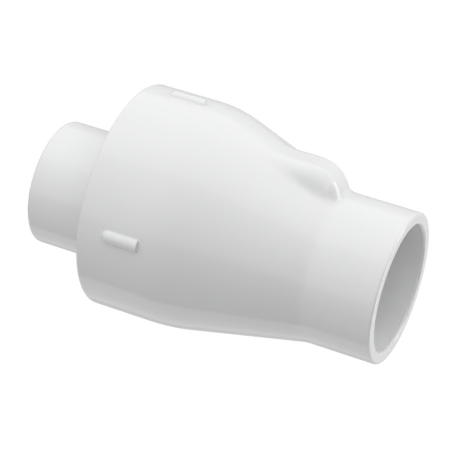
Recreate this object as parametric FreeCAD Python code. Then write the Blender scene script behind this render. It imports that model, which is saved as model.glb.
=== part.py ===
"""Swing check valve in white PVC for 2 inch pipe, with a socket inlet and a glued-in spigot outlet.

Frame: millimetres, X along the pipe axis, +Z up. The origin is on the pipe axis in the plane of the
drum's rim, where the outlet spigot leaves the drum, and +X points out of the inlet socket's mouth.
Water flows from the socket to the spigot, towards -X. A round clapper hangs from a pin in the roof
pocket and closes on a seat behind the socket.
"""

import FreeCAD
import Part

import math
import os

# Pipe interface, nominal 2 inch.
PIPE_R = 30.16  # outside radius of the pipe, and of the spigot
SOCKET_R = 30.26  # socket bore, which the pipe slides into
BORE_R = 26.25  # waterway through spigot and seat
SOCKET_DEPTH = 32.0
SOCKET_LEAD = 1.0  # chamfer at the mouth

# Stations along the pipe axis.
SPIGOT_END = -38.7  # outlet spigot's free end
RIM = 0.0  # rim of the drum, which the tailpiece is glued into
CONE_START = 39.9  # where drum and cone would meet with no rounding
CONE_END = 104.3  # where cone and socket would meet with no rounding
MOUTH = 138.6  # inlet socket's mouth
LOFT_START = 27.3  # on the plain drum, just before the shoulder's rounding
LOFT_END = 108.3  # on the plain socket, just after the foot's rounding

# Outside of the body.
DRUM_R = 54.0
DRUM_Z = 5.0  # the drum's axis lies this far above the pipe axis
SOCKET_OUT_R = 36.0
WALL = 5.0
SHOULDER_BLEND = 10.0  # half length of the rounding between drum and cone
FOOT_BLEND = 2.0  # half length of the rounding between cone and socket
RIM_EDGE_R = 1.2
MOUTH_EDGE_R = 1.3

# Glued joint of drum and tailpiece, and the tailpiece's skirt and end plate.
JOINT_R = 50.0
JOINT_END = 18.3
SKIRT_START = 2.0  # the skirt's edge lies this far inside the drum's rim
SKIRT_IN_R = 46.0
WEB_START = 5.0
WEB_END = 11.0
SPIGOT_EDGE_R = 1.8
SPIGOT_FOOT = 2.5  # leg of the chamfer between spigot and end plate
OUTLET_FLARE = 2.5  # leg of the chamfer where the chamber opens into the spigot
GUSSET_COUNT = 8
GUSSET_START = 2.8
GUSSET_HALF = 1.5

# Seat, and the end wall of the chamber behind it.
SEAT_X = 92.3
CHAMBER_END = 94.3
SEAT_OUT_R = 29.5

# Roof pocket over the hinge: a ridge outside, and a box-shaped recess inside.
POCKET_START = 59.3  # inside the cone, where the ridge has not yet come through
POCKET_TOP = 48.1
POCKET_BASE = 30.0  # inside the socket's wall
POCKET_HALF = 12.2
POCKET_EDGE_R = 7.5
POCKET_FOOT_R = 1.6
NOSE_START = 91.0  # the ridge's flat top ends here and curves down
NOSE_MIDDLE = (100.0, 44.2)  # x and z on the nose's arc
NOSE_TOE = (105.9, 35.0)  # x and z where the arc ends, inside the socket's wall
RECESS_START = 56.3
RECESS_END = 95.1
RECESS_HALF = 6.6
RECESS_FLOOR = 33.0
RECESS_TOP = 43.8

# Hinge.
PIN_X = 90.5
PIN_Z = 38.0
PIN_R = 1.6
PIN_HALF = 6.5
KNUCKLE_R = 3.3
KNUCKLE_HALF = 3.7
RUNNING_GAP = 0.06  # radial, between pin and knuckle
THRUST_R = 2.7
THRUST_T = 0.5
THRUST_GAP = 0.05  # between knuckle and thrust washer
THRUST_BORE_GAP = 0.02  # radial, between pin and thrust washer
CARRIER_START = PIN_X - 4.6
CARRIER_FLOOR = 34.4
CHEEK_IN = 4.3  # the cheeks stand this far each side of the middle
SLOT_TOP = 41.9
SLOT_END = RECESS_END - 0.9

# Clapper: a stack on one bolt, measured from the seal's face towards the outlet.
SEAL_FACE = SEAT_X - 0.1
SEAL_R = 30.5
SEAL_T = 2.4
PLATE_R = 29.8
PLATE_RIM_T = 2.0
PLATE_RIM_LAND = 0.8  # straight part of the plate's edge, before its chamfer
PLATE_RIM_CHAMFER = 1.4  # lets the open clapper lie closer to the chamber's roof
PLATE_HUB_R = 23.0
PLATE_HUB_T = 4.0
LUG_T = 3.4
LUG_START = 16.0
LUG_END = PIN_Z - 1.2
NECK_START = SEAL_R + 0.9
NECK_T = 2.6
NECK_FRONT = PIN_X + 0.9
WEIGHT_R = 20.0
WEIGHT_T = 2.5
WEIGHT_CHAMFER = 0.5
RETAINER_R = 15.0
RETAINER_T = 2.0
RETAINER_EDGE_R = 1.4
BOLT_R = 3.0
BOLT_HOLE_R = 3.2
BOLT_TAIL = 10.0  # length of shank past the weight
BOLT_END_CHAMFER = 0.7
HEX_FLATS = 10.0
HEX_CROWN_R = 5.8
HEX_CHAMFER = 0.6
HEAD_T = 4.0
NUT_T = 5.0
HEAD_WASHER_R = 6.6
HEAD_WASHER_T = 1.0
FLAT_WASHER_R = 6.2
FLAT_WASHER_T = 1.2
LOCK_WASHER_R = 5.4
LOCK_WASHER_T = 1.6
LOCK_SPLIT = 0.8

# Grip ribs round the drum.
RIB_COUNT = 4
RIB_START = 12.8
RIB_END = 30.8
RIB_WIDTH = 5.8
RIB_HEIGHT = 2.2
RIB_ROOT = 2.0  # how far a rib's base lies under the drum's outside before it is trimmed
RIB_SUNK = 1.0  # how far it still lies under it afterwards
RIB_HEEL_R = 1.0
RIB_TOP_R = 1.6

X_AXIS = FreeCAD.Vector(1, 0, 0)
Y_AXIS = FreeCAD.Vector(0, 1, 0)


def disc(radius, x0, x1, z=0.0):
    """Solid cylinder along X."""
    return Part.makeCylinder(radius, x1 - x0, FreeCAD.Vector(x0, 0, z), X_AXIS)


def ring(outer, inner, x0, x1, z=0.0):
    """Tube along X."""
    return disc(outer, x0, x1, z).cut(disc(inner, x0 - 1, x1 + 1, z))


def pin_y(radius, half, x=PIN_X, z=PIN_Z):
    """Solid cylinder along Y, centred on the hinge axis."""
    return Part.makeCylinder(radius, 2 * half, FreeCAD.Vector(x, -half, z), Y_AXIS)


def box(x0, x1, y0, y1, z0, z1):
    return Part.makeBox(x1 - x0, y1 - y0, z1 - z0, FreeCAD.Vector(x0, y0, z0))


def turned(points):
    """Solid of revolution about X, from (x, radius) corners."""
    wire = Part.makePolygon([FreeCAD.Vector(x, 0, r) for x, r in points + points[:1]])
    return Part.Face(wire).revolve(FreeCAD.Vector(0, 0, 0), X_AXIS, 360)


def circles_at(shape, x, radius, z=0.0):
    """Full circular edges of that radius about an axis at height z, in the plane at x."""
    found = []
    for edge in shape.Edges:
        curve = edge.Curve
        if isinstance(curve, Part.Circle) and abs(curve.Radius - radius) < 1e-3:
            centre = curve.Center
            if abs(centre.x - x) < 1e-3 and abs(centre.z - z) < 1e-3 and abs(centre.y) < 1e-3:
                found.append(edge)
    return found


def rounding(x, corner, half):
    """Ramp that is 0 before the corner and rises at slope 1 after it, with a parabola over the corner."""
    if x <= corner - half:
        return 0.0
    if x >= corner + half:
        return x - corner
    return (x - corner + half) ** 2 / (4 * half)


def cone_share(x):
    """0 on the drum, 1 on the socket, and linear along the cone between them, with both corners rounded."""
    run = rounding(x, CONE_START, SHOULDER_BLEND) - rounding(x, CONE_END, FOOT_BLEND)
    return run / (CONE_END - CONE_START)


def outside_circle(x):
    """Radius and height of axis of the body's outside at x."""
    share = cone_share(x)
    return DRUM_R + (SOCKET_OUT_R - DRUM_R) * share, DRUM_Z * (1 - share)


def section(x, inset):
    """Circle of the body's outside at x, made smaller by inset."""
    radius, z = outside_circle(x)
    return Part.Wire(Part.makeCircle(radius - inset, FreeCAD.Vector(x, 0, z), X_AXIS))


def lies_on_cone(edge):
    """True for an edge whose middle and quarter points all lie on the body's plain outside."""
    first, last = edge.ParameterRange
    for share in (0.25, 0.5, 0.75):
        point = edge.valueAt(first + (last - first) * share)
        radius, z = outside_circle(point.x)
        if abs(math.hypot(point.y, point.z - z) - radius) > 0.05:
            return False
    return True


def cone_body(inset, x_end):
    """Body between drum and socket: circles whose size and height follow the share."""
    shoulder = [CONE_START + SHOULDER_BLEND * k / 4 for k in range(-4, 5)]
    cone = [CONE_START + SHOULDER_BLEND + 11 * k for k in range(1, 5)]
    foot = [CONE_END + FOOT_BLEND * k / 2 for k in range(-2, 3)]
    stations = [LOFT_START] + shoulder + cone + foot
    stations = [x for x in stations if x < x_end - 1.0] + [x_end]
    return Part.makeLoft([section(x, inset) for x in stations], True, False)


def grip_rib():
    """One rib on the drum's top: a round nose towards the rim, a square heel and a rounded top edge."""
    half = RIB_WIDTH / 2
    nose = RIB_START + half
    base = DRUM_Z + DRUM_R - RIB_ROOT
    top = DRUM_Z + DRUM_R + RIB_HEIGHT
    plan = Part.Wire(
        [
            Part.makeLine(FreeCAD.Vector(nose, -half, base), FreeCAD.Vector(RIB_END, -half, base)),
            Part.makeLine(FreeCAD.Vector(RIB_END, -half, base), FreeCAD.Vector(RIB_END, half, base)),
            Part.makeLine(FreeCAD.Vector(RIB_END, half, base), FreeCAD.Vector(nose, half, base)),
            Part.Arc(
                FreeCAD.Vector(nose, half, base),
                FreeCAD.Vector(RIB_START, 0, base),
                FreeCAD.Vector(nose, -half, base),
            ).toShape(),
        ]
    )
    rib = Part.Face(plan).extrude(FreeCAD.Vector(0, 0, top - base))
    heel_edges = [
        e
        for e in rib.Edges
        if abs(e.BoundBox.XMin - RIB_END) < 1e-3 and e.BoundBox.ZLength > 1 and e.BoundBox.XLength < 1e-3
    ]
    rib = rib.makeFillet(RIB_HEEL_R, heel_edges)
    top_edges = [e for e in rib.Edges if e.BoundBox.ZMin > top - 1e-3]
    return rib.makeFillet(RIB_TOP_R, top_edges)


def roof_pocket():
    """Outside of the hinge pocket: a flat-topped ridge along X whose nose rounds down onto the socket."""
    base_start = FreeCAD.Vector(POCKET_START, 0, POCKET_BASE)
    top_start = FreeCAD.Vector(POCKET_START, 0, POCKET_TOP)
    top_end = FreeCAD.Vector(NOSE_START, 0, POCKET_TOP)
    middle = FreeCAD.Vector(NOSE_MIDDLE[0], 0, NOSE_MIDDLE[1])
    toe = FreeCAD.Vector(NOSE_TOE[0], 0, NOSE_TOE[1])
    base_end = FreeCAD.Vector(NOSE_TOE[0], 0, POCKET_BASE)
    profile = [
        Part.makeLine(base_start, top_start),
        Part.makeLine(top_start, top_end),
        Part.Arc(top_end, middle, toe).toShape(),
        Part.makeLine(toe, base_end),
        Part.makeLine(base_end, base_start),
    ]
    ridge = Part.Face(Part.Wire(profile)).extrude(FreeCAD.Vector(0, 2 * POCKET_HALF, 0))
    ridge.translate(FreeCAD.Vector(0, -POCKET_HALF, 0))
    top_edges = [
        e
        for e in ridge.Edges
        if e.BoundBox.ZMax > POCKET_TOP - 1e-3 and e.BoundBox.YLength < 1e-3 and e.BoundBox.XLength > 1
    ]
    return ridge.makeFillet(POCKET_EDGE_R, top_edges)


def body_outside():
    drum = disc(DRUM_R, RIM, LOFT_START, DRUM_Z)
    socket = disc(SOCKET_OUT_R, LOFT_END, MOUTH)
    shape = drum.fuse([cone_body(0.0, LOFT_END), socket]).removeSplitter()
    shape = shape.makeFillet(RIM_EDGE_R, circles_at(shape, RIM, DRUM_R, DRUM_Z))
    shape = shape.makeFillet(MOUTH_EDGE_R, circles_at(shape, MOUTH, SOCKET_OUT_R))
    shape = shape.fuse(roof_pocket())
    foot = [e for e in shape.Edges if abs(e.BoundBox.YMax) < POCKET_HALF + 1 and lies_on_cone(e)]
    foot = [e for e in foot if e.BoundBox.XMin > POCKET_START]
    return shape.makeFillet(POCKET_FOOT_R, foot)


def body_cavity():
    """Everything that is open inside the body shell, the seat lip left standing."""
    glued = disc(JOINT_R, RIM - 1, JOINT_END, DRUM_Z)
    drum = disc(DRUM_R - WALL, JOINT_END - 1, LOFT_START, DRUM_Z)
    chamber = cone_body(WALL, CHAMBER_END)
    lip = ring(SEAT_OUT_R, BORE_R, SEAT_X, CHAMBER_END + 1)
    recess = box(RECESS_START, RECESS_END, -RECESS_HALF, RECESS_HALF, RECESS_FLOOR, RECESS_TOP)
    throat = disc(BORE_R, SEAT_X - 1, MOUTH)
    socket = disc(SOCKET_R, MOUTH - SOCKET_DEPTH, MOUTH + 1)
    lead_r = SOCKET_R + SOCKET_LEAD
    mouth = turned([(MOUTH - SOCKET_LEAD, 0), (MOUTH - SOCKET_LEAD, SOCKET_R), (MOUTH, lead_r), (MOUTH, 0)])
    return glued.fuse([drum, chamber.cut(lip), recess, throat, socket, mouth])


def body_shell():
    shell = body_outside().cut(body_cavity())
    axis = FreeCAD.Vector(0, 0, DRUM_Z)
    ribs = []
    for k in range(RIB_COUNT):
        rib = grip_rib().cut(disc(DRUM_R - RIB_SUNK, RIB_START - 2, RIB_END + 2, DRUM_Z))
        rib.rotate(axis, X_AXIS, 360.0 * k / RIB_COUNT)
        ribs.append(rib)
    return shell.fuse(ribs).removeSplitter()


def outlet_tailpiece():
    """Spigot with the ribbed end plate that is glued into the drum's rim."""
    skirt = ring(JOINT_R, SKIRT_IN_R, SKIRT_START, JOINT_END, DRUM_Z)
    web = disc(SKIRT_IN_R + 0.5, WEB_START, WEB_END, DRUM_Z)
    spigot = disc(PIPE_R, SPIGOT_END, WEB_END)
    spigot = spigot.makeFillet(SPIGOT_EDGE_R, circles_at(spigot, SPIGOT_END, PIPE_R))
    foot_start = WEB_START - SPIGOT_FOOT
    foot_r = PIPE_R + SPIGOT_FOOT
    inside = PIPE_R - 1
    foot = turned([(foot_start, inside), (foot_start, PIPE_R), (WEB_START, foot_r), (WEB_START, inside)])
    piece = skirt.fuse([web, spigot, foot])
    within = disc(SKIRT_IN_R + 0.5, SKIRT_START, WEB_START + 1, DRUM_Z)
    for k in range(GUSSET_COUNT):
        arm = box(GUSSET_START, WEB_START + 1, -GUSSET_HALF, GUSSET_HALF, PIPE_R - 1, JOINT_R + 5)
        arm.rotate(FreeCAD.Vector(0, 0, 0), X_AXIS, 360.0 * (k + 0.5) / GUSSET_COUNT)
        piece = piece.fuse(arm.common(within))
    bore = disc(BORE_R, SPIGOT_END - 1, WEB_END + 1)
    flare_start = WEB_END - OUTLET_FLARE
    flare_r = BORE_R + OUTLET_FLARE
    inside = BORE_R - 1
    flare = turned([(flare_start, inside), (flare_start, BORE_R), (WEB_END, flare_r), (WEB_END, inside)])
    return piece.cut(bore).cut(flare).removeSplitter()


def hinge_carrier():
    """Block cemented in the roof pocket, whose two cheeks hold the pin."""
    block = box(CARRIER_START, RECESS_END, -RECESS_HALF, RECESS_HALF, CARRIER_FLOOR, RECESS_TOP)
    slot = box(CARRIER_START - 1, SLOT_END, -CHEEK_IN, CHEEK_IN, CARRIER_FLOOR - 1, SLOT_TOP)
    return block.cut(slot).cut(pin_y(PIN_R, RECESS_HALF + 1))


def hinge_pin():
    pin = pin_y(PIN_R, PIN_HALF)
    ends = [e for e in pin.Edges if isinstance(e.Curve, Part.Circle)]
    return pin.makeChamfer(0.3, ends)


def thrust_washer_right():
    """Thin washer that keeps the knuckle off the cheek on the +Y side."""
    place = FreeCAD.Vector(PIN_X, KNUCKLE_HALF + THRUST_GAP, PIN_Z)
    washer = Part.makeCylinder(THRUST_R, THRUST_T, place, Y_AXIS)
    return washer.cut(pin_y(PIN_R + THRUST_BORE_GAP, PIN_HALF))


def thrust_washer_left():
    return thrust_washer_right().mirror(FreeCAD.Vector(0, 0, 0), Y_AXIS)


def clapper_plate():
    """Round backing plate with its hinge lug in one moulding."""
    front = SEAL_FACE - SEAL_T
    plate = turned(
        [
            (front, 0),
            (front, PLATE_R),
            (front - PLATE_RIM_LAND, PLATE_R),
            (front - PLATE_RIM_T, PLATE_R - PLATE_RIM_CHAMFER),
            (front - PLATE_RIM_T, PLATE_HUB_R + PLATE_HUB_T - PLATE_RIM_T),
            (front - PLATE_HUB_T, PLATE_HUB_R),
            (front - PLATE_HUB_T, 0),
        ]
    )
    lug = box(front - LUG_T, front, -KNUCKLE_HALF, KNUCKLE_HALF, LUG_START, LUG_END)
    knuckle = pin_y(KNUCKLE_R, KNUCKLE_HALF)
    neck = box(front - NECK_T, NECK_FRONT, -KNUCKLE_HALF, KNUCKLE_HALF, NECK_START, PIN_Z)
    shape = plate.fuse([lug, knuckle, neck])
    shape = shape.cut(pin_y(PIN_R + RUNNING_GAP, KNUCKLE_HALF + 1))
    shape = shape.cut(disc(BOLT_HOLE_R, front - PLATE_HUB_T - 1, front + 1))
    return shape.removeSplitter()


def seat_seal():
    """Rubber facing that closes on the seat."""
    seal = ring(SEAL_R, BOLT_HOLE_R, SEAL_FACE - SEAL_T, SEAL_FACE)
    return seal.makeFillet(0.5, circles_at(seal, SEAL_FACE, SEAL_R))


def seal_retainer():
    """Dished plate that clamps the seal from the inlet side."""
    plate = disc(RETAINER_R, SEAL_FACE, SEAL_FACE + RETAINER_T)
    plate = plate.makeFillet(RETAINER_EDGE_R, circles_at(plate, SEAL_FACE + RETAINER_T, RETAINER_R))
    return plate.cut(disc(BOLT_HOLE_R, SEAL_FACE - 1, SEAL_FACE + RETAINER_T + 1))


def clapper_weight():
    back = SEAL_FACE - SEAL_T - PLATE_HUB_T
    weight = ring(WEIGHT_R, BOLT_HOLE_R, back - WEIGHT_T, back)
    return weight.makeChamfer(WEIGHT_CHAMFER, circles_at(weight, back - WEIGHT_T, WEIGHT_R))


def stack_back():
    """Station of the weight's outer face, where the washers start."""
    return SEAL_FACE - SEAL_T - PLATE_HUB_T - WEIGHT_T


def head_washer():
    """Soft washer that seals the bolt hole, under the head."""
    face = SEAL_FACE + RETAINER_T
    return ring(HEAD_WASHER_R, BOLT_R + 0.1, face, face + HEAD_WASHER_T)


def flat_washer():
    return ring(FLAT_WASHER_R, BOLT_R + 0.2, stack_back() - FLAT_WASHER_T, stack_back())


def lock_washer():
    """Split spring washer."""
    x1 = stack_back() - FLAT_WASHER_T
    x0 = x1 - LOCK_WASHER_T
    washer = ring(LOCK_WASHER_R, BOLT_R + 0.2, x0, x1)
    split = box(x0 - 1, x1 + 1, -LOCK_SPLIT / 2, LOCK_SPLIT / 2, BOLT_R - 1, LOCK_WASHER_R + 2)
    split.rotate(FreeCAD.Vector((x0 + x1) / 2, 0, 0), FreeCAD.Vector(0, 0, 1), 20)
    return washer.cut(split)


def hexagon(x0, x1):
    """Hexagonal prism along X."""
    radius = HEX_FLATS / math.sqrt(3)
    points = []
    for k in range(7):
        angle = math.radians(60 * k)
        points.append(FreeCAD.Vector(x0, radius * math.cos(angle), radius * math.sin(angle)))
    return Part.Face(Part.makePolygon(points)).extrude(FreeCAD.Vector(x1 - x0, 0, 0))


def lock_nut():
    x1 = stack_back() - FLAT_WASHER_T - LOCK_WASHER_T
    x0 = x1 - NUT_T
    face_r = HEX_FLATS / 2
    crown = turned(
        [
            (x0, 0),
            (x0, face_r),
            (x0 + HEX_CHAMFER, HEX_CROWN_R),
            (x1 - HEX_CHAMFER, HEX_CROWN_R),
            (x1, face_r),
            (x1, 0),
        ]
    )
    return hexagon(x0, x1).common(crown).cut(disc(BOLT_R, x0 - 1, x1 + 1))


def clapper_bolt():
    """Hex-head bolt through the clapper, its head towards the inlet."""
    under = SEAL_FACE + RETAINER_T + HEAD_WASHER_T
    top = under + HEAD_T
    face_r = HEX_FLATS / 2
    crown = turned(
        [(under, 0), (under, HEX_CROWN_R), (top - HEX_CHAMFER, HEX_CROWN_R), (top, face_r), (top, 0)]
    )
    end = stack_back() - BOLT_TAIL
    shank = disc(BOLT_R, end, under + 1)
    shank = shank.makeChamfer(BOLT_END_CHAMFER, circles_at(shank, end, BOLT_R))
    return hexagon(under, top).common(crown).fuse(shank)


# Sub-parts by node name.
PARTS = {
    "body_shell": body_shell,
    "outlet_tailpiece": outlet_tailpiece,
    "hinge_carrier": hinge_carrier,
    "hinge_pin": hinge_pin,
    "thrust_washer_left": thrust_washer_left,
    "thrust_washer_right": thrust_washer_right,
    "clapper_plate": clapper_plate,
    "seat_seal": seat_seal,
    "seal_retainer": seal_retainer,
    "clapper_weight": clapper_weight,
    "clapper_bolt": clapper_bolt,
    "head_washer": head_washer,
    "flat_washer": flat_washer,
    "lock_washer": lock_washer,
    "lock_nut": lock_nut,
}


def main():
    os.makedirs("parts", exist_ok=True)
    for name, make in PARTS.items():
        shape = make()
        shape.exportStep(f"parts/{name}.step")
        print(f"{name}: valid {shape.isValid()}, solids {len(shape.Solids)}, volume {shape.Volume:.1f} mm3")


main()
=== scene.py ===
import math

import bmesh
import bpy
import numpy as np
from mathutils import Matrix, Vector


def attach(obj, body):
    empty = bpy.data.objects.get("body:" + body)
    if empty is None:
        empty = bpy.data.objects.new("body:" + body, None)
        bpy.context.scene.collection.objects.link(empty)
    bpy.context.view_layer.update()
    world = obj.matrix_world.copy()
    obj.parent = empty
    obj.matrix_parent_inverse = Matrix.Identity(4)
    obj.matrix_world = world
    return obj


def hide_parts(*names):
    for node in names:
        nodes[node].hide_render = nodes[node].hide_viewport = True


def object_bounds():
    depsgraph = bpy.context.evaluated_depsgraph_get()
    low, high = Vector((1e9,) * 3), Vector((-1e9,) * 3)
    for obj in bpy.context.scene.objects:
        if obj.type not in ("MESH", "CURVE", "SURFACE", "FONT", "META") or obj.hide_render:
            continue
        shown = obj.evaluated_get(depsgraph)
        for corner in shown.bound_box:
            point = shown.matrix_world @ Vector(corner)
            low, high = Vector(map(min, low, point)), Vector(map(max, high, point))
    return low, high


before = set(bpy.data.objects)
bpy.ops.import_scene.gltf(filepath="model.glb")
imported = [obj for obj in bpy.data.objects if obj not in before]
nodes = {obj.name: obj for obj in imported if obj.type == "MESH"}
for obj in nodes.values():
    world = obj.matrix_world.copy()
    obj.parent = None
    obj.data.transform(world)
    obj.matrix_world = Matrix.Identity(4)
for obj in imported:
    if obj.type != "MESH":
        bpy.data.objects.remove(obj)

cad_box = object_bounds()
scene = bpy.context.scene

MM = 0.001
MERGE = 1e-7  # points closer than this, in metres, become one

# ---------------------------------------------------------------- driving dimensions, in millimetres
PIPE_R = 30.16
BORE_R = 26.25
SOCKET_R = 30.26
SOCKET_DEPTH = 32.0
LEAD_DEPTH = 1.0
LEAD_R = SOCKET_R + 0.7
SPIGOT_END = -38.7
RIM = 0.0
CONE_START = 39.9
CONE_END = 104.3
MOUTH = 138.6
DRUM_R = 54.0
DRUM_Z = 5.0
HUB_R = 36.0
WALL = 5.0
SHOULDER_BLEND = 10.0
FOOT_BLEND = 2.0
RIM_EDGE_R = 1.2
MOUTH_EDGE_R = 1.3

JOINT_R = 50.0
JOINT_END = 18.3
SKIRT_START = 2.0
SKIRT_IN_R = 46.0
WEB_START = 5.0
WEB_END = 11.0
SKIRT_FOOT = 1.2
GLUE_GAP = 0.02
SPIGOT_EDGE_R = 1.8
SPIGOT_FOOT = 2.5
OUTLET_FLARE = 2.5
GUSSET_COUNT = 8
GUSSET_START = 2.8
GUSSET_HALF = 1.5
GUSSET_SLOPE = 0.9
GUSSET_FILLET = 0.6

SEAT_X = 92.3
CHAMBER_END = 94.3
SEAT_OUT_R = 29.5
LIP_R = 0.35

POCKET_START = 59.3
RIDGE_TOP = 48.1
POCKET_HALF = 12.8
POCKET_FILLET = 2.8
POCKET_COS = 0.6  # the pocket lies within this cosine of straight up
CREST_HALF = 4.4  # flat part of the ridge, each side of its middle
CROWN_R = 13.0  # the crest's sides curve down with this radius
CROWN_END = 3.3  # for this far out, and then go straight on
NOSE_X = 88.6
NOSE_Z = 33.0
NOSE_LENGTH = 16.3
FLANK_X = (86.0, 98.0)  # between these stations the rounding along the flanks grows
FLANK_R = (5.2, 8.0)
RECESS_HALF = 6.6
RECESS_TOP = 43.8
RECESS_END = 95.1
RECESS_COS = 0.5

RIB_START = 12.8
RIB_END = 30.8
RIB_WIDTH = 5.8
RIB_HEIGHT = 2.2
RIB_HEEL_R = 0.45
RIB_FILLET = 0.5
RIB_MARGIN = 3.0

PIN_X = 90.5
PIN_Z = 38.0
PIN_R = 1.6
PIN_BORE_R = 1.66
KNUCKLE_R = 3.3
KNUCKLE_HALF = 3.7
CARRIER_START = PIN_X - 4.6
CARRIER_FLOOR = 34.4
CHEEK_IN = 4.3
SLOT_TOP = 41.9
SLOT_END = RECESS_END - 0.9

SEAL_FACE = SEAT_X - 0.1
SEAL_R = 30.5
SEAL_T = 2.4
PLATE_FRONT = SEAL_FACE - SEAL_T
PLATE_R = 29.8
PLATE_RIM_T = 2.0
PLATE_RIM_LAND = 0.8
PLATE_RIM_CHAMFER = 1.4
PLATE_HUB_R = 23.0
PLATE_HUB_T = 4.0
PLATE_BACK = PLATE_FRONT - PLATE_HUB_T
ARM_FOOT = 16.4
ARM_FRONT = PLATE_FRONT - 0.3
ARM_BACK = PLATE_FRONT - 3.2
ARM_TOP = 34.0
NECK_START = SEAL_R + 0.9
WEIGHT_R = 20.0
WEIGHT_T = 2.5
WEIGHT_CHAMFER = 0.5
WEIGHT_BACK = PLATE_BACK - WEIGHT_T
RETAINER_R = 15.0
RETAINER_T = 2.0
BOLT_R = 3.0
BOLT_HOLE_R = 3.2
BOLT_TAIL = 10.0  # length of the bolt past the weight
THREAD_ROOT_R = 2.2
THREAD_PITCH = 1.0
THREAD_DEPTH = 0.55
HEX_FLATS = 10.0
HEAD_T = 4.0
NUT_T = 5.0
HEAD_WASHER_R = 6.6
HEAD_WASHER_T = 1.0
FLAT_WASHER_R = 6.2
FLAT_WASHER_T = 1.2
LOCK_WASHER_R = 5.4
LOCK_WASHER_T = 1.6
LOCK_WASHER_SPRING = 0.18  # how far the cut ends spring out of line
LOCK_WASHER_GAP = 5.5  # half the cut, in degrees


# ---------------------------------------------------------------- outside of the body
def rounding(x, corner, half):
    ramp = (np.clip(x - corner + half, 0, 2 * half)) ** 2 / (4 * half)
    return np.where(x > corner + half, x - corner, ramp)


def cone_share(x):
    run = rounding(x, CONE_START, SHOULDER_BLEND) - rounding(x, CONE_END, FOOT_BLEND)
    return run / (CONE_END - CONE_START)


def outside_circle(x):
    share = cone_share(x)
    return DRUM_R + (HUB_R - DRUM_R) * share, DRUM_Z * (1 - share)


def round_corner(a, b, radius):
    """Distance to the common part of two shapes, its edge rounded."""
    a = a + radius
    b = b + radius
    return np.minimum(np.maximum(a, b), 0) + np.hypot(np.maximum(a, 0), np.maximum(b, 0)) - radius


def soft_union(a, b, width):
    """Distance to two shapes together, with a fillet where they meet."""
    mix = np.maximum(width - np.abs(a - b), 0) / width
    return np.minimum(a, b) - mix * mix * width / 4


def pocket_distance(x, y, z):
    """Ridge over the hinge: flat crest, sides that curve down, and a nose that curves down onto the hub."""
    nose_height = RIDGE_TOP - NOSE_Z
    off = np.abs(y) - CREST_HALF
    curved = np.clip(off, 0, CROWN_END) ** 2 / (2 * CROWN_R)
    straight = np.maximum(off - CROWN_END, 0) * CROWN_END / CROWN_R
    lift = curved + straight
    u = np.maximum(x - NOSE_X, 0) / NOSE_LENGTH
    w = np.maximum(z + lift - NOSE_Z, 0) / nose_height
    scale = np.where(u > w, NOSE_LENGTH, nose_height)
    over = (np.hypot(u, w) - 1) * scale
    side = np.abs(y) - POCKET_HALF
    return round_corner(over, side, np.interp(x, FLANK_X, FLANK_R))


def rib_distance(x, across, height):
    """Grip rib: half-round section, round nose towards the rim, square heel."""
    half = RIB_WIDTH / 2
    nose = RIB_START + half
    off = np.hypot(np.maximum(nose - x, 0), across) / half
    up = np.maximum(height, 0) / RIB_HEIGHT
    dome = (np.hypot(off, up) - 1) * RIB_HEIGHT
    return round_corner(dome, x - RIB_END, RIB_HEEL_R)


def outside_distance(x, phi, r, base, centre):
    """Distance to the finished outside, from radius r in direction phi round the local centre."""
    y = r * np.sin(phi)
    z = centre + r * np.cos(phi)
    d = r - base
    near_pocket = (x > POCKET_START) & (np.cos(phi) > POCKET_COS)
    d = np.where(near_pocket, soft_union(d, pocket_distance(x, y, z), POCKET_FILLET), d)
    quarter = np.round(phi / (math.pi / 2)) * (math.pi / 2)
    across = r * np.sin(phi - quarter)
    near_rib = (x > RIB_START - RIB_MARGIN) & (x < RIB_END + RIB_MARGIN)
    return np.where(near_rib, soft_union(d, rib_distance(x, across, r - base), RIB_FILLET), d)


def outside_radius(x, phi):
    """Radius of the finished outside at x, in direction phi, found by halving."""
    below, above, halvings = 1.0, 22.0, 34
    base, centre = outside_circle(x)
    low = base - below
    high = base + above
    for _ in range(halvings):
        r = (low + high) / 2
        d = outside_distance(x, phi, r, base, centre)
        low = np.where(d < 0, r, low)
        high = np.where(d < 0, high, r)
    return (low + high) / 2


# ---------------------------------------------------------------- mesh building
def spaced(start, stop, step):
    return list(np.linspace(start, stop, max(2, int(round(abs(stop - start) / step)) + 1)))


def arc(cx, cr, radius, a0, a1, count):
    """Points (x, r) of an arc in the half plane, angles in degrees from +x."""
    angles = [math.radians(a0 + (a1 - a0) * k / count) for k in range(count + 1)]
    return [(cx + radius * math.cos(a), cr + radius * math.sin(a)) for a in angles]


def circle(cx, cz, radius, start, stop, step):
    """Points (x, z) on a circle, angles in whole degrees from +x."""
    angles = [math.radians(a) for a in range(start, stop, step)]
    return [(cx + radius * math.cos(a), cz + radius * math.sin(a)) for a in angles]


def finish_mesh(name, verts, faces):
    mesh = bpy.data.meshes.new(name)
    mesh.from_pydata([tuple(c * MM for c in v) for v in verts], [], faces)
    mesh.update()
    bm = bmesh.new()
    bm.from_mesh(mesh)
    bmesh.ops.remove_doubles(bm, verts=bm.verts, dist=MERGE)
    bmesh.ops.recalc_face_normals(bm, faces=bm.faces)
    bm.to_mesh(mesh)
    bm.free()
    mesh.shade_smooth()
    obj = bpy.data.objects.new(name, mesh)
    scene.collection.objects.link(obj)
    return obj


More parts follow.
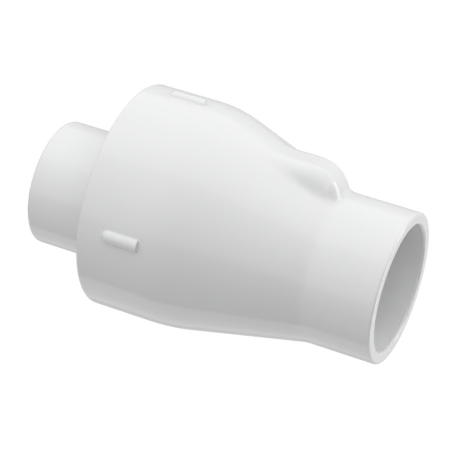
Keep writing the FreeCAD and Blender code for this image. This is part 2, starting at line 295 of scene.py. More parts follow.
def grid_object(name, points, close_u, close_v):
    """Quad mesh over a grid of points, closed round either way."""
    nu, nv = points.shape[:2]
    iu = np.arange(nu if close_u else nu - 1)
    iv = np.arange(nv if close_v else nv - 1)
    a, b = np.meshgrid(iu, iv, indexing="ij")
    a1, b1 = (a + 1) % nu, (b + 1) % nv
    quads = np.stack([a * nv + b, a * nv + b1, a1 * nv + b1, a1 * nv + b], axis=-1).reshape(-1, 4)
    return finish_mesh(name, points.reshape(-1, 3).tolist(), quads.tolist())


def rounded(corners, steps=5):
    """Closed outline through (a, b, radius) corners, with edge loops beside each rounding."""
    long_run, inset = 0.8, 0.2
    outline = []
    count = len(corners)
    for i, (a, b, radius) in enumerate(corners):
        here = Vector((a, b))
        if radius == 0:
            outline.append([here])
            continue
        to_last = (Vector(corners[i - 1][:2]) - here).normalized()
        to_next = (Vector(corners[(i + 1) % count][:2]) - here).normalized()
        half = to_last.angle(to_next) / 2
        centre = here + (to_last + to_next).normalized() * (radius / math.sin(half))
        start = here + to_last * (radius / math.tan(half)) - centre
        stop = here + to_next * (radius / math.tan(half)) - centre
        turn = math.atan2(start.x * stop.y - start.y * stop.x, start.dot(stop))
        points = []
        for k in range(steps + 1):
            t = turn * k / steps
            cos, sin = math.cos(t), math.sin(t)
            points.append(centre + Vector((start.x * cos - start.y * sin, start.x * sin + start.y * cos)))
        outline.append(points)
    full = []
    for i, points in enumerate(outline):
        full += points
        nxt = outline[(i + 1) % count][0]
        gap = nxt - points[-1]
        if gap.length > long_run:
            near = min(inset, gap.length / 4) / gap.length
            full += [points[-1] + gap * near, points[-1] + gap * (1 - near)]
    return [(p.x, p.y) for p in full]


def spun(name, outline, columns=96):
    """Closed ring: an outline of (x, r) points turned about X."""
    phi = np.linspace(0, 2 * math.pi, columns, endpoint=False)
    rows = [np.stack([np.full(columns, x), r * np.sin(phi), r * np.cos(phi)], axis=-1) for x, r in outline]
    return grid_object(name, np.array(rows), True, True)


def bevelled(obj, width, angle):
    """Small rounding along every edge that turns more than the angle, in degrees."""
    edges = obj.modifiers.new("edges", "BEVEL")
    edges.width = width * MM
    edges.segments = 2
    edges.limit_method = "ANGLE"
    edges.angle_limit = math.radians(angle)


def softened(obj, width):
    """Bevel and even shading for a piece put together by booleans."""
    bevelled(obj, width, 50)
    obj.data.shade_smooth()
    even = obj.modifiers.new("even", "WEIGHTED_NORMAL")
    even.keep_sharp = True
    return obj


# ---------------------------------------------------------------- body
# Offsets of a few tenths beside a corner are edge loops, which keep its shading crisp.
def body_angles():
    """Directions round the axis, closer together at the pocket and the ribs."""
    even, at_rib, at_pocket, least = 3.0, 0.24, 0.45, 0.12
    marks = {round(k * even, 4) for k in range(120)}
    for quarter in (0, 90, 180, 270):
        marks |= {round((quarter + k * at_rib) % 360, 4) for k in range(-20, 21)}
    marks |= {round((k * at_pocket) % 360, 4) for k in range(-50, 51)}
    kept = []
    for mark in sorted(marks):
        if not kept or mark - kept[-1] > least:
            kept.append(mark)
    return np.radians(np.array(kept))


def outside_stations():
    """Stations of the outside from the drum's rim to the mouth, closer together at ribs and pocket."""
    stations = spaced(RIM + RIM_EDGE_R + 0.4, RIB_START - 1.5, 1.6)
    stations += spaced(RIB_START - 1.2, RIB_START + 4, 0.3)
    stations += spaced(RIB_START + 5, RIB_END - 0.9, 0.9)
    stations += spaced(RIB_END - 0.75, RIB_END + 0.6, 0.09)
    stations += spaced(RIB_END + 0.9, RIB_END + 1.5, 0.3)
    stations += spaced(RIB_END + 2.5, POCKET_START + 2, 1.2)
    stations += spaced(POCKET_START + 2.6, POCKET_START + 28, 0.8)
    stations += spaced(POCKET_START + 28.5, CONE_END + 4, 0.45)
    stations += spaced(CONE_END + 7.2, MOUTH - MOUTH_EDGE_R - 0.3, 1.5)
    return stations


def outside_rings(ring, phi):
    """Rim of the drum, the whole outside, and the rounding round the mouth."""
    for r in (JOINT_R + 0.4, JOINT_R + 0.8, DRUM_R - RIM_EDGE_R - 0.8, DRUM_R - RIM_EDGE_R - 0.2):
        ring(RIM, r, DRUM_Z)
    for x, r in arc(RIM + RIM_EDGE_R, DRUM_R - RIM_EDGE_R, RIM_EDGE_R, 180, 90, 7):
        ring(x, r, DRUM_Z)
    for x in outside_stations():
        r = outside_radius(np.full_like(phi, x), phi)
        ring(x, r, float(outside_circle(np.array(x))[1]))
    for x, r in arc(MOUTH - MOUTH_EDGE_R, HUB_R - MOUTH_EDGE_R, MOUTH_EDGE_R, 90, 0, 8):
        ring(x, r, 0.0)


def socket_rings(ring):
    """Mouth with its lead-in, the socket, and the shoulder that stops the pipe."""
    for x, r in [
        (MOUTH, HUB_R - MOUTH_EDGE_R - 0.3),
        (MOUTH, LEAD_R + 0.5),
        (MOUTH, LEAD_R + 0.2),
        (MOUTH - 0.06, LEAD_R + 0.02),
        (MOUTH - 0.2, LEAD_R - 0.1),
        (MOUTH - LEAD_DEPTH + 0.15, SOCKET_R + 0.08),
        (MOUTH - LEAD_DEPTH - 0.1, SOCKET_R),
    ]:
        ring(x, r, 0.0)
    stop = MOUTH - SOCKET_DEPTH
    for x in spaced(MOUTH - LEAD_DEPTH - 0.4, stop + 0.5, 1.2):
        ring(x, SOCKET_R, 0.0)
    for x, r in [
        (stop + 0.15, SOCKET_R - 0.05),
        (stop, SOCKET_R - 0.3),
        (stop, SOCKET_R - 0.6),
        (stop, BORE_R + 0.8),
        (stop, BORE_R + 0.4),
        (stop - 0.1, BORE_R + 0.1),
        (stop - 0.4, BORE_R),
    ]:
        ring(x, r, 0.0)


def seat_rings(ring):
    """Throat, and the lip that the seal closes on."""
    for x in spaced(MOUTH - SOCKET_DEPTH - 1.0, SEAT_X + 0.8, 1.2):
        ring(x, BORE_R, 0.0)
    for x, r in [(SEAT_X + 0.4, BORE_R)] + arc(SEAT_X + LIP_R, BORE_R + LIP_R, LIP_R, 270, 180, 4):
        ring(x, r, 0.0)
    for r in (BORE_R + 0.6, SEAT_OUT_R - 0.6):
        ring(SEAT_X, r, 0.0)
    for x, r in arc(SEAT_X + LIP_R, SEAT_OUT_R - LIP_R, LIP_R, 180, 90, 4) + [(CHAMBER_END, SEAT_OUT_R)]:
        ring(x, r, 0.0)


def chamber_rings(ring, phi):
    """End wall and chamber, with the hinge pocket opening out of its roof, and the glue joint in the drum."""

    def inner(x):
        base, centre = outside_circle(np.array(float(x)))
        base, centre = float(base) - WALL, float(centre)
        sin = np.maximum(np.abs(np.sin(phi)), 1e-6)
        cos = np.maximum(np.cos(phi), 1e-6)
        reach = np.minimum(RECESS_HALF / sin, (RECESS_TOP - centre) / cos)
        in_pocket = (np.cos(phi) > RECESS_COS) & (reach > base)
        return np.where(in_pocket, reach, base), centre, in_pocket

    r_end, c_end, in_pocket = inner(CHAMBER_END - 0.01)
    for share in (0.35, 0.7, 1.0):
        x = CHAMBER_END + np.where(in_pocket, (RECESS_END - CHAMBER_END) * min(1, share * 2), 0)
        ring(x, SEAT_OUT_R + (r_end - SEAT_OUT_R) * share, c_end * share)
    stations = spaced(CHAMBER_END - 0.6, POCKET_START - 2, 0.8)
    stations += spaced(POCKET_START - 4, JOINT_END + 0.1, 1.6)
    for x in stations:
        r, centre, in_pocket = inner(x)
        ring(x, r, centre)
    ring(JOINT_END, JOINT_R - 0.2, DRUM_Z)
    for x in spaced(JOINT_END - 0.3, RIM + 0.5, 2.0):
        ring(x, JOINT_R, DRUM_Z)
    ring(RIM + 0.12, JOINT_R + 0.12, DRUM_Z)


def body_points():
    """The whole body, outside and inside, as one closed grid of rings."""
    phi = body_angles()
    rings = []

    def ring(x, r, centre):
        x = np.broadcast_to(x, phi.shape)
        r = np.broadcast_to(r, phi.shape)
        rings.append(np.stack([x, r * np.sin(phi), centre + r * np.cos(phi)], axis=-1))

    outside_rings(ring, phi)
    socket_rings(ring)
    seat_rings(ring)
    chamber_rings(ring, phi)
    return np.array(rings)


# ---------------------------------------------------------------- tailpiece
def gusset_direction(k):
    return (k + 0.5) * 2 * math.pi / GUSSET_COUNT


def tailpiece_points():
    """Spigot, end plate with its gussets, and the skirt glued into the drum, as one closed grid."""
    marks = {round(k * 2.5, 4) for k in range(144)}
    for k in range(GUSSET_COUNT):
        middle = math.degrees(gusset_direction(k))
        marks |= {round((middle + 0.22 * j) % 360, 4) for j in range(-22, 23)}
    phi = np.radians(np.array(sorted(marks)))
    sin, cos = np.sin(phi), np.cos(phi)
    rings = []

    def ring(x, r):
        rings.append(np.stack([np.broadcast_to(x, phi.shape), r * sin, r * cos], axis=-1))

    def reach(radius):
        """Distance along each direction from the pipe axis to a circle about the drum's axis."""
        along = DRUM_Z * cos
        return along + np.sqrt(along**2 + radius**2 - DRUM_Z**2)

    def hollow(depth, radius):
        """Height of a fillet at this distance from the wall that it runs up."""
        inside = np.clip(radius - depth, 0, radius)
        return radius - np.sqrt(radius**2 - inside**2)

    def plate_x(r):
        """Station of the ribbed end plate's face."""
        to_skirt = SKIRT_IN_R - np.hypot(r * sin, r * cos - DRUM_Z)
        web = np.maximum(hollow(r - PIPE_R, SPIGOT_FOOT), hollow(to_skirt, SKIRT_FOOT))
        across = np.full_like(phi, DRUM_R)
        for k in range(GUSSET_COUNT):
            turn = phi - gusset_direction(k)
            across = np.where(np.cos(turn) > 0.5, np.minimum(across, np.abs(r * np.sin(turn))), across)
        slope = np.clip((GUSSET_HALF + 0.35 - across) / GUSSET_SLOPE, 0, 1)
        gusset = (WEB_START - GUSSET_START) * slope * slope * (3 - 2 * slope)
        return WEB_START + soft_union(-web, -gusset, GUSSET_FILLET)

    end_r, bore_edge = SPIGOT_EDGE_R, 0.5
    skirt_r = JOINT_R - GLUE_GAP
    for x, r in [
        (WEB_END, BORE_R + OUTLET_FLARE + 0.3),
        (WEB_END - 0.15, BORE_R + OUTLET_FLARE),
        (WEB_END - OUTLET_FLARE + 0.2, BORE_R + 0.2),
        (WEB_END - OUTLET_FLARE - 0.2, BORE_R),
    ]:
        ring(x, r)
    for x in spaced(WEB_END - OUTLET_FLARE - 1.0, SPIGOT_END + bore_edge + 0.3, 2.0):
        ring(x, BORE_R)
    for x, r in arc(SPIGOT_END + bore_edge, BORE_R + bore_edge, bore_edge, 270, 180, 4):
        ring(x, r)
    for x, r in arc(SPIGOT_END + end_r, PIPE_R - end_r, end_r, 180, 90, 8):
        ring(x, r)
    for x in spaced(SPIGOT_END + end_r + 0.3, -2.0, 2.0):
        ring(x, PIPE_R)
    top = plate_x(np.full_like(phi, PIPE_R))
    for share in (0.35, 0.65, 0.85, 0.95):
        ring(-2.0 + (top + 2.0) * share, PIPE_R)
    outer = reach(SKIRT_IN_R)
    shares = [0.0, 0.006, 0.015, 0.03, 0.05, 0.08, 0.12, 0.16] + spaced(0.2, 0.84, 0.08)
    shares += [0.88, 0.92, 0.94, 0.96, 0.975, 0.988, 1.0]
    for share in shares:
        r = PIPE_R + (outer - PIPE_R) * share
        ring(plate_x(r), r)
    lip = plate_x(outer)
    edge = 0.4
    for share in (0.3, 0.6, 0.85):
        ring(lip + (SKIRT_START + edge - lip) * share, outer)
    for x, r in arc(SKIRT_START + edge, SKIRT_IN_R + edge, edge, 270, 180, 4):
        ring(x, reach(r))
    for x, r in arc(SKIRT_START + edge, skirt_r - edge, edge, 180, 90, 4):
        ring(x, reach(r))
    for x in spaced(SKIRT_START + 1, JOINT_END - 1, 2.4):
        ring(x, reach(skirt_r))
    for x, r in arc(JOINT_END - edge, skirt_r - edge, edge, 90, 0, 4):
        ring(x, reach(r))
    for x, r in arc(JOINT_END - edge, SKIRT_IN_R + edge, edge, 360, 270, 4):
        ring(x, reach(r))
    for x in (JOINT_END - 1, WEB_END + 2, WEB_END + 0.8):
        ring(x, reach(SKIRT_IN_R))
    for x, r in arc(WEB_END + 0.6, SKIRT_IN_R - 0.6, 0.6, 90, 180, 4):
        ring(x, reach(r))
    for share in (0.05, 0.5, 0.95):
        inner_r = BORE_R + OUTLET_FLARE + 0.3
        ring(WEB_END, reach(SKIRT_IN_R - 0.6) * (1 - share) + inner_r * share)
    return np.array(rings)


# ---------------------------------------------------------------- clapper and its fasteners
def extruded(name, outline, half):
    """Solid from y = -half to +half over a closed outline of (x, z) points, its ends slightly bevelled."""
    edge = 0.3
    count = len(outline)
    middle = Vector((sum(p[0] for p in outline) / count, sum(p[1] for p in outline) / count))
    verts = []
    for y, inset in ((-half, edge), (-half + edge, 0), (half - edge, 0), (half, edge)):
        for x, z in outline:
            pull = (middle - Vector((x, z))).normalized() * inset
            verts.append((x + pull.x, y, z + pull.y))
    faces = [list(range(count)), list(range(3 * count, 4 * count))]
    for layer in range(3):
        here, above = layer * count, (layer + 1) * count
        for i in range(count):
            j = (i + 1) % count
            faces.append([here + i, here + j, above + j, above + i])
    return finish_mesh(name, verts, faces)


def combine(target, other, operation):
    """Boolean of two objects, left on the first; the second is deleted."""
    modifier = target.modifiers.new("join", "BOOLEAN")
    modifier.operation = operation
    modifier.solver = "EXACT"
    modifier.object = other
    evaluated = target.evaluated_get(bpy.context.evaluated_depsgraph_get())
    mesh = bpy.data.meshes.new_from_object(evaluated)
    target.modifiers.remove(modifier)
    target.data = mesh
    bpy.data.objects.remove(other)


def clapper_disc():
    """Backing plate: dished rim, thicker hub, and the arm that reaches up to the pin."""
    rim_back = PLATE_FRONT - PLATE_RIM_T
    corners = [
        (PLATE_FRONT, BOLT_HOLE_R, 0),
        (PLATE_FRONT, PLATE_R, 0.3),
        (PLATE_FRONT - PLATE_RIM_LAND, PLATE_R, 0.5),
        (rim_back, PLATE_R - PLATE_RIM_CHAMFER, 0.5),
        (rim_back, PLATE_HUB_R + PLATE_HUB_T - PLATE_RIM_T, 1.2),
        (PLATE_BACK, PLATE_HUB_R, 0.8),
        (PLATE_BACK, BOLT_HOLE_R, 0),
    ]
    disc = spun("clapper_moulding", rounded(corners), 128)
    arm = [(ARM_FRONT, ARM_FOOT), (ARM_FRONT, NECK_START), (PIN_X + 0.6, NECK_START + 0.1)]
    arm += circle(PIN_X, PIN_Z, KNUCKLE_R, -40, 221, 12)
    arm += [(ARM_BACK, ARM_TOP), (ARM_BACK, ARM_FOOT + 1.0), (ARM_BACK + 0.6, ARM_FOOT)]
    combine(disc, extruded("arm", arm, KNUCKLE_HALF), "UNION")
    bore = circle(PIN_X, PIN_Z, PIN_BORE_R, 0, 360, 12)
    combine(disc, extruded("bore", bore, KNUCKLE_HALF + 2), "DIFFERENCE")
    return softened(disc, 0.25)


def pivot_block():
    """Block in the roof pocket whose two cheeks hold the pin, its corners rounded."""
    corners = [
        (CARRIER_START, CARRIER_FLOOR),
        (RECESS_END, CARRIER_FLOOR),
        (RECESS_END, RECESS_TOP),
        (CARRIER_START, RECESS_TOP),
    ]
    block = extruded("pivot_block", rounded([(x, z, 0.5) for x, z in corners]), RECESS_HALF)
    start, low = CARRIER_START - 2, CARRIER_FLOOR - 2
    slot = [(start, low), (SLOT_END, low), (SLOT_END, SLOT_TOP), (start, SLOT_TOP)]
    combine(block, extruded("slot", slot, CHEEK_IN), "DIFFERENCE")
    hole = circle(PIN_X, PIN_Z, PIN_R + 0.02, 0, 360, 10)
    combine(block, extruded("hole", hole, RECESS_HALF + 2), "DIFFERENCE")
    return softened(block, 0.12)


def hexagon_radius(phi):
    sixth = math.pi / 3
    turn = (phi + sixth / 2) % sixth - sixth / 2
    return HEX_FLATS / 2 / np.cos(turn)


def hex_rows(x0, x1, phi, chamfer_low, chamfer_high):
    """Rows round a hexagonal prism, its corners turned off at 30 degrees at the ends that say so."""
    face_r = HEX_FLATS / 2 - 0.15
    slope = math.tan(math.radians(60))
    soft = 0.12
    flat = hexagon_radius(phi)
    steps = (0, 0.05, 0.12, 0.2, 0.3, 0.45, 0.65, 0.9)
    rows = []
    for x in [x0 + t for t in steps] + [(x0 + x1) / 2] + [x1 - t for t in reversed(steps)]:
        r = flat
        if chamfer_low:
            r = soft_union(r, face_r + (x - x0) * slope, soft)
        if chamfer_high:
            r = soft_union(r, face_r + (x1 - x) * slope, soft)
        rows.append((x, r))
    return rows


def hex_angles():
    marks = {round(5.0 * k, 3) for k in range(72)}
    for k in range(6):
        marks |= {round((30 + 60 * k + t) % 360, 3) for t in (-1.6, -0.8, 0.8, 1.6)}
    return np.radians(np.array(sorted(marks)))


def rows_to_points(rows, phi):
    grid = []
    for x, r in rows:
        r = np.broadcast_to(r, phi.shape)
        grid.append(np.stack([np.broadcast_to(x, phi.shape), r * np.sin(phi), r * np.cos(phi)], axis=-1))
    return np.array(grid)


def thread_r(x, phi):
    """Radius of a V thread with flattened crests."""
    phase = (x / THREAD_PITCH - phi / (2 * math.pi)) % 1.0
    tooth = np.abs(phase * 2 - 1)
    return BOLT_R - THREAD_DEPTH * np.clip((tooth - 0.12) / 0.76, 0, 1)


def bolt_points():
    """Hex head, plain shank under it, and the threaded end past the clapper, from end to end."""
    phi = hex_angles()
    under = SEAL_FACE + RETAINER_T + HEAD_WASHER_T
    top = under + HEAD_T
    end = WEIGHT_BACK - BOLT_TAIL
    threads_from = PLATE_BACK + 1.0
    rows = [(end, 0.0), (end, 1.2), (end, 1.9), (end + 0.05, 2.1)]
    for x in np.arange(end + 0.1, threads_from, 0.1):
        start = np.clip((x - end) / 0.6, 0, 1)
        rows.append((x, THREAD_ROOT_R + (thread_r(x, phi) - THREAD_ROOT_R) * start))
    rows += [(threads_from + 0.3, BOLT_R), (under - 0.1, BOLT_R)]
    rows += [(under, BOLT_R + 0.1), (under, HEX_FLATS / 2 - 0.3)]
    rows += hex_rows(under, top, phi, False, True)
    rows += [(top, HEX_FLATS / 2 - 0.45), (top, 3.2), (top - 0.12, 2.9), (top - 0.12, 0.0)]
    return rows_to_points(rows, phi)


def nut_points():
    phi = hex_angles()
    x1 = WEIGHT_BACK - FLAT_WASHER_T - LOCK_WASHER_T
    x0 = x1 - NUT_T
    rows = hex_rows(x0, x1, phi, True, True)
    rows += [(x1, 4.4), (x1, 3.45), (x1 - 0.35, 3.08)]
    rows += [(x, 3.05) for x in (x1 - 1.5, x0 + 1.5)]
    rows += [(x0 + 0.35, 3.08), (x0, 3.45), (x0, 4.4)]
    return rows_to_points(rows, phi)


def lock_washer_object():
    """Split spring washer: a ring of square section, cut through and slightly sprung apart."""
    x1 = WEIGHT_BACK - FLAT_WASHER_T
    section = rounded(
        [
            (-0.6, BOLT_R + 0.25, 0.2),
            (-0.6, LOCK_WASHER_R - 0.05, 0.25),
            (0.6, LOCK_WASHER_R - 0.05, 0.25),
            (0.6, BOLT_R + 0.25, 0.2),
        ],
        3,
    )
    middle = x1 - LOCK_WASHER_T / 2
    gap = math.radians(LOCK_WASHER_GAP)
    phi = np.linspace(gap, 2 * math.pi - gap, 73)
    rows = []
    for x, r in section:
        rise = LOCK_WASHER_SPRING * (phi / math.pi - 1)
        rows.append(np.stack([middle + x + rise, r * np.sin(phi), r * np.cos(phi)], axis=-1))
    points = np.array(rows)
    obj = grid_object("spring_washer", points, True, False)
    bm = bmesh.new()
    bm.from_mesh(obj.data)
    bmesh.ops.holes_fill(bm, edges=[e for e in bm.edges if e.is_boundary], sides=0)
    bmesh.ops.recalc_face_normals(bm, faces=bm.faces)
    bm.to_mesh(obj.data)
    bm.free()
    obj.data.shade_smooth()
    return obj


def stand_in(piece, node, body):
    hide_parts(node)
    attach(piece, body)
    return piece


def ring_piece(piece, node, corners, columns, steps=5):
    """Turned piece of the clapper, from the (x, r, rounding) corners of its section."""
    return stand_in(spun(piece, rounded(corners, steps), columns), node, "clapper")


body_grid = grid_object("body_moulding", body_points(), True, True)
shell = stand_in(body_grid, "body_shell", "valve_body")
tail_grid = grid_object("spigot_moulding", tailpiece_points(), True, True)
tail = stand_in(tail_grid, "outlet_tailpiece", "valve_body")
carrier = stand_in(pivot_block(), "hinge_carrier", "valve_body")
plate = stand_in(clapper_disc(), "clapper_plate", "clapper")

seal_corners = [
    (SEAL_FACE - SEAL_T, BOLT_HOLE_R, 0.1),
    (SEAL_FACE - SEAL_T, SEAL_R, 0.5),
    (SEAL_FACE, SEAL_R, 0.5),
    (SEAL_FACE, BOLT_HOLE_R, 0.1),
]
seal = ring_piece("seal_ring", "seat_seal", seal_corners, 160)
retainer_corners = [
    (SEAL_FACE, BOLT_HOLE_R, 0.1),
    (SEAL_FACE, RETAINER_R, 0.25),
    (SEAL_FACE + 1.0, RETAINER_R, 0.6),
    (SEAL_FACE + RETAINER_T, RETAINER_R - 1.6, 0.9),
    (SEAL_FACE + RETAINER_T, BOLT_HOLE_R, 0.15),
]
retainer = ring_piece("retainer_dish", "seal_retainer", retainer_corners, 128)
weight_corners = [
    (PLATE_BACK, BOLT_HOLE_R, 0.1),
    (PLATE_BACK, WEIGHT_R, 0.2),
    (WEIGHT_BACK + WEIGHT_CHAMFER, WEIGHT_R, 0.12),
    (WEIGHT_BACK, WEIGHT_R - WEIGHT_CHAMFER, 0.12),
    (WEIGHT_BACK, BOLT_HOLE_R, 0.15),
]
weight = ring_piece("weight_disc", "clapper_weight", weight_corners, 128)
bolt_grid = grid_object("hex_bolt", bolt_points(), False, True)
bolt = stand_in(bolt_grid, "clapper_bolt", "clapper")
nut = stand_in(grid_object("hex_nut", nut_points(), True, True), "lock_nut", "clapper")
spring_washer = stand_in(lock_washer_object(), "lock_washer", "clapper")
washer_x = WEIGHT_BACK - FLAT_WASHER_T
plain_corners = [
    (washer_x, BOLT_R + 0.2, 0.1),
    (washer_x, FLAT_WASHER_R, 0.35),
    (WEIGHT_BACK, FLAT_WASHER_R, 0.12),
    (WEIGHT_BACK, BOLT_R + 0.2, 0.1),
]
plain_washer = ring_piece("plain_washer", "flat_washer", plain_corners, 72, 3)
head_x = SEAL_FACE + RETAINER_T
soft_corners = [
    (head_x, BOLT_R + 0.1, 0.1),
    (head_x, HEAD_WASHER_R, 0.3),
    (head_x + HEAD_WASHER_T, HEAD_WASHER_R, 0.3),
    (head_x + HEAD_WASHER_T, BOLT_R + 0.1, 0.1),
]
soft_washer = ring_piece("sealing_washer", "head_washer", soft_corners, 72, 3)


# ---------------------------------------------------------------- materials
def new_material(name):
    mat = bpy.data.materials.new(name)
    mat.use_nodes = True
    tree = mat.node_tree
    tree.nodes.clear()
    out = tree.nodes.new("ShaderNodeOutputMaterial")
    bsdf = tree.nodes.new("ShaderNodeBsdfPrincipled")
    tree.links.new(bsdf.outputs["BSDF"], out.inputs["Surface"])
    return mat, tree, bsdf


def noise(tree, scale, detail, vector):
    node = tree.nodes.new("ShaderNodeTexNoise")
    node.inputs["Scale"].default_value = scale
    node.inputs["Detail"].default_value = detail
    tree.links.new(vector, node.inputs["Vector"])
    return node.outputs["Fac"]


def ramp_colour(tree, value, low, high, start=0.3, stop=0.7):
    node = tree.nodes.new("ShaderNodeValToRGB")
    node.color_ramp.elements[0].position = start
    node.color_ramp.elements[1].position = stop
    node.color_ramp.elements[0].color = (*low, 1)
    node.color_ramp.elements[1].color = (*high, 1)
    tree.links.new(value, node.inputs["Fac"])
    return node.outputs["Color"]


def spread(tree, value, low, high):
    node = tree.nodes.new("ShaderNodeMapRange")
    node.inputs["To Min"].default_value = low
    node.inputs["To Max"].default_value = high
    tree.links.new(value, node.inputs["Value"])
    return node.outputs["Result"]


def bumped(tree, height, strength, distance, below=None):
    node = tree.nodes.new("ShaderNodeBump")
    node.inputs["Strength"].default_value = strength
    node.inputs["Distance"].default_value = distance
    tree.links.new(height, node.inputs["Height"])
    if below is not None:
        tree.links.new(below, node.inputs["Normal"])
    return node.outputs["Normal"]


def plastic(name, colour, rough, bump=0.03, shade=0.985):
    """Injection-moulded plastic: faint mottling in colour and gloss, slow sink marks and a fine texture."""
    mat, tree, bsdf = new_material(name)
    link = tree.links.new
    place = tree.nodes.new("ShaderNodeTexCoord").outputs["Object"]
    cloud = noise(tree, 34, 4, place)
    link(ramp_colour(tree, cloud, [c * shade for c in colour], colour), bsdf.inputs["Base Color"])
    link(spread(tree, cloud, rough - 0.03, rough + 0.03), bsdf.inputs["Roughness"])
    sink = bumped(tree, noise(tree, 18, 1, place), 0.05, 0.002)
    link(bumped(tree, noise(tree, 520, 3, place), bump, 0.0004, sink), bsdf.inputs["Normal"])
    bsdf.inputs["IOR"].default_value = 1.53
    return mat


def steel(name, colour, rough, turned=True):
    """Stainless steel with fine turning rings about X, or a plain rolled and tumbled surface."""
    mat, tree, bsdf = new_material(name)
    link = tree.links.new
    place = tree.nodes.new("ShaderNodeTexCoord").outputs["Object"]
    cloud = noise(tree, 160, 4, place)
    link(ramp_colour(tree, cloud, [c * 0.9 for c in colour], colour), bsdf.inputs["Base Color"])
    bsdf.inputs["Metallic"].default_value = 1.0
    if turned:
        split = tree.nodes.new("ShaderNodeSeparateXYZ")
        join = tree.nodes.new("ShaderNodeCombineXYZ")
        link(place, split.inputs["Vector"])
        link(split.outputs["Y"], join.inputs["X"])
        link(split.outputs["Z"], join.inputs["Y"])
        length = tree.nodes.new("ShaderNodeVectorMath")
        length.operation = "LENGTH"
        link(join.outputs["Vector"], length.inputs[0])
        rings = tree.nodes.new("ShaderNodeTexNoise")
        rings.noise_dimensions = "1D"
        rings.inputs["Scale"].default_value = 4200
        rings.inputs["Detail"].default_value = 2
        link(length.outputs["Value"], rings.inputs["W"])
        grain = rings.outputs["Fac"]
    else:
        grain = noise(tree, 1400, 3, place)
    link(spread(tree, grain, rough - 0.07, rough + 0.09), bsdf.inputs["Roughness"])
    link(bumped(tree, grain, 0.12, 0.00005), bsdf.inputs["Normal"])
    return mat


def rubber(name):
    """Black EPDM: matt, with a soft grain and a little bloom."""
    mat, tree, bsdf = new_material(name)
    link = tree.links.new
    place = tree.nodes.new("ShaderNodeTexCoord").outputs["Object"]
    bloom = noise(tree, 60, 5, place)
    link(ramp_colour(tree, bloom, (0.022, 0.022, 0.024), (0.05, 0.05, 0.052)), bsdf.inputs["Base Color"])
    link(spread(tree, bloom, 0.62, 0.8), bsdf.inputs["Roughness"])
    link(bumped(tree, noise(tree, 900, 4, place), 0.15, 0.0001), bsdf.inputs["Normal"])
    return mat


pvc = plastic("white_pvc", (0.80, 0.803, 0.805), 0.11)
tail_pvc = plastic("white_pvc_spigot", (0.80, 0.803, 0.805), 0.11)
satin_pvc = plastic("satin_pvc", (0.76, 0.76, 0.75), 0.42, 0.06)
acetal = plastic("acetal", (0.78, 0.77, 0.70), 0.38, 0.05)
grey_pvc = plastic("grey_pvc", (0.27, 0.285, 0.30), 0.4, 0.08, 0.93)
epdm = rubber("epdm")
turned_steel = steel("turned_steel", (0.60, 0.60, 0.59), 0.3)
plain_steel = steel("cold_formed_steel", (0.62, 0.62, 0.61), 0.26, False)

def dress(node, mat):
    obj = nodes[node]
    for place in obj.material_slots:
        place.material = mat
    if not obj.material_slots:
        obj.data.materials.append(mat)


replaced = {
    "body_shell": (shell, pvc),
    "outlet_tailpiece": (tail, tail_pvc),
    "hinge_carrier": (carrier, satin_pvc),
    "clapper_plate": (plate, grey_pvc),
    "seat_seal": (seal, epdm),
    "head_washer": (soft_washer, epdm),
    "seal_retainer": (retainer, turned_steel),
    "clapper_weight": (weight, turned_steel),
    "clapper_bolt": (bolt, plain_steel),
    "lock_nut": (nut, plain_steel),
    "lock_washer": (spring_washer, plain_steel),
    "flat_washer": (plain_washer, plain_steel),
}
for name, (piece, mat) in replaced.items():
    piece.data.materials.clear()
    piece.data.materials.append(mat)
    dress(name, mat)
carried_over = {"hinge_pin": plain_steel, "thrust_washer_left": acetal, "thrust_washer_right": acetal}
for name, mat in carried_over.items():
    dress(name, mat)
    bevelled(nodes[name], 0.12, 40)

# ---------------------------------------------------------------- camera
AZ, EL, ROLL = math.radians(20.95), math.radians(22.23), math.radians(-9.21)
LOOK = Vector((46.3, 0, 2)) * MM
DISTANCE = 0.949
AIM_RIGHT, AIM_UP = 0.00351, 0.00115  # the picture's middle, beside the point looked at
LENS = 162.5
back = Vector((math.sin(AZ) * math.cos(EL), -math.cos(AZ) * math.cos(EL), math.sin(EL)))
side = Vector((math.cos(AZ), math.sin(AZ), 0))
rise = back.cross(side)
cam_right = math.cos(ROLL) * side - math.sin(ROLL) * rise
cam_up = math.sin(ROLL) * side + math.cos(ROLL) * rise
place = LOOK + back * DISTANCE
aim = LOOK + cam_right * AIM_RIGHT + cam_up * AIM_UP
back = (place - aim).normalized()
cam_right = (cam_right - back * cam_right.dot(back)).normalized()
cam_up = back.cross(cam_right)
cam_data = bpy.data.cameras.new("camera")
cam_data.sensor_width = 36
cam_data.lens = LENS
camera = bpy.data.objects.new("camera", cam_data)
camera.matrix_world = Matrix(
    (
        (cam_right.x, cam_up.x, back.x, place.x),
        (cam_right.y, cam_up.y, back.y, place.y),
        (cam_right.z, cam_up.z, back.z, place.z),
        (0, 0, 0, 1),
    )
)
scene.collection.objects.link(camera)
scene.camera = camera

# ---------------------------------------------------------------- stage and light
floor_z = cad_box[0].z
FLOOR_SIZE, BACKDROP_R = 12, 6.5
MIDDLE_X = 0.05
TENT = 1.6  # distance of the softboxes from the pipe axis, in metres
LEFT_END, RIGHT_END = -2.2, 1.7  # the softboxes run along the pipe from here to here


def flat_emitter(name, strength):
    mat = bpy.data.materials.new(name)
    mat.use_nodes = True
    tree = mat.node_tree
    tree.nodes.clear()
    out = tree.nodes.new("ShaderNodeOutputMaterial")
    emit = tree.nodes.new("ShaderNodeEmission")
    emit.inputs["Strength"].default_value = strength
    tree.links.new(emit.outputs["Emission"], out.inputs["Surface"])
    return mat


def hide_from_light(obj):
    obj.visible_diffuse = False
    obj.visible_glossy = False
    obj.visible_transmission = False
    obj.visible_shadow = False


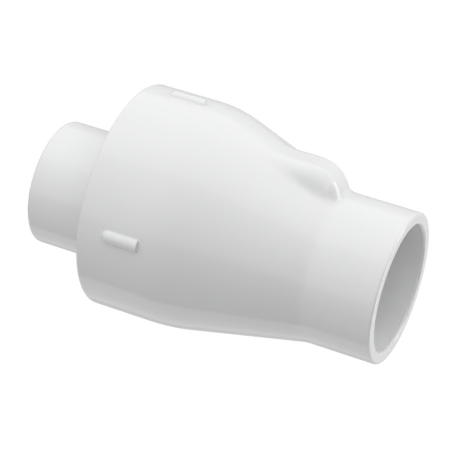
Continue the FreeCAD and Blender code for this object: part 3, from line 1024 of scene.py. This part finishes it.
bpy.ops.mesh.primitive_plane_add(size=FLOOR_SIZE, location=(MIDDLE_X, 0, floor_z))
floor = bpy.context.object
floor.name = "floor"
floor.data.materials.append(flat_emitter("pale_floor", 1.0))
hide_from_light(floor)
bpy.ops.mesh.primitive_uv_sphere_add(segments=32, ring_count=16, radius=BACKDROP_R, location=(MIDDLE_X, 0, 0))
sky = bpy.context.object
sky.name = "backdrop"
sky.data.materials.append(flat_emitter("pale_backdrop", 1.0))
hide_from_light(sky)

world = bpy.data.worlds.new("studio")
scene.world = world
world.use_nodes = True
world.node_tree.nodes["Background"].inputs["Color"].default_value = (1, 1, 1, 1)
world.node_tree.nodes["Background"].inputs["Strength"].default_value = 0.04


def panel(name, corner, along, up, radiance):
    """Rectangular softbox with one corner and two sides given, facing the object."""
    corner, along, up = Vector(corner), Vector(along), Vector(up)
    centre = corner + (along + up) / 2
    x, y = along.normalized(), up.normalized()
    if x.cross(y).dot(centre - Vector((MIDDLE_X, 0, 0))) < 0:
        x = -x
    z = x.cross(y)
    light = bpy.data.lights.new(name, "AREA")
    light.shape = "RECTANGLE"
    light.size = along.length
    light.size_y = up.length
    light.energy = math.pi * along.length * up.length * radiance
    obj = bpy.data.objects.new(name, light)
    obj.matrix_world = Matrix(
        ((x.x, y.x, z.x, centre.x), (x.y, y.y, z.y, centre.y), (x.z, y.z, z.z, centre.z), (0, 0, 0, 1))
    )
    scene.collection.objects.link(obj)


def softbox(name, angle0, angle1, radiance):
    """Long softbox parallel to the pipe, between two angles from straight up, towards the camera's side."""
    a0, a1 = math.radians(angle0), math.radians(angle1)
    start = Vector((LEFT_END, -math.sin(a0) * TENT, math.cos(a0) * TENT))
    stop = Vector((LEFT_END, -math.sin(a1) * TENT, math.cos(a1) * TENT))
    panel(name, start, (RIGHT_END - LEFT_END, 0, 0), stop - start, radiance)


softbox("overhead_back", -28, 0, 1.1)
softbox("overhead", 0, 37, 1.4)
softbox("front_high", 37, 72, 0.95)
softbox("front", 72, 100, 0.85)
softbox("front_low", 100, 172, 0.36)
softbox("floor_bounce", 172, 215, 0.95)
softbox("back_low", 215, 260, 0.6)
softbox("back", 260, 305, 0.5)
softbox("back_high", 305, 332, 0.95)
panel("left_end", (LEFT_END, -TENT, -0.5), (0, 2 * TENT, 0), (0, 0, TENT + 0.5), 0.5)
panel("right_end", (RIGHT_END, 0.5, -TENT), (0, TENT - 0.5, 0), (0, 0, 2 * TENT), 3.2)

scene.view_settings.view_transform = "Standard"
scene.view_settings.look = "None"
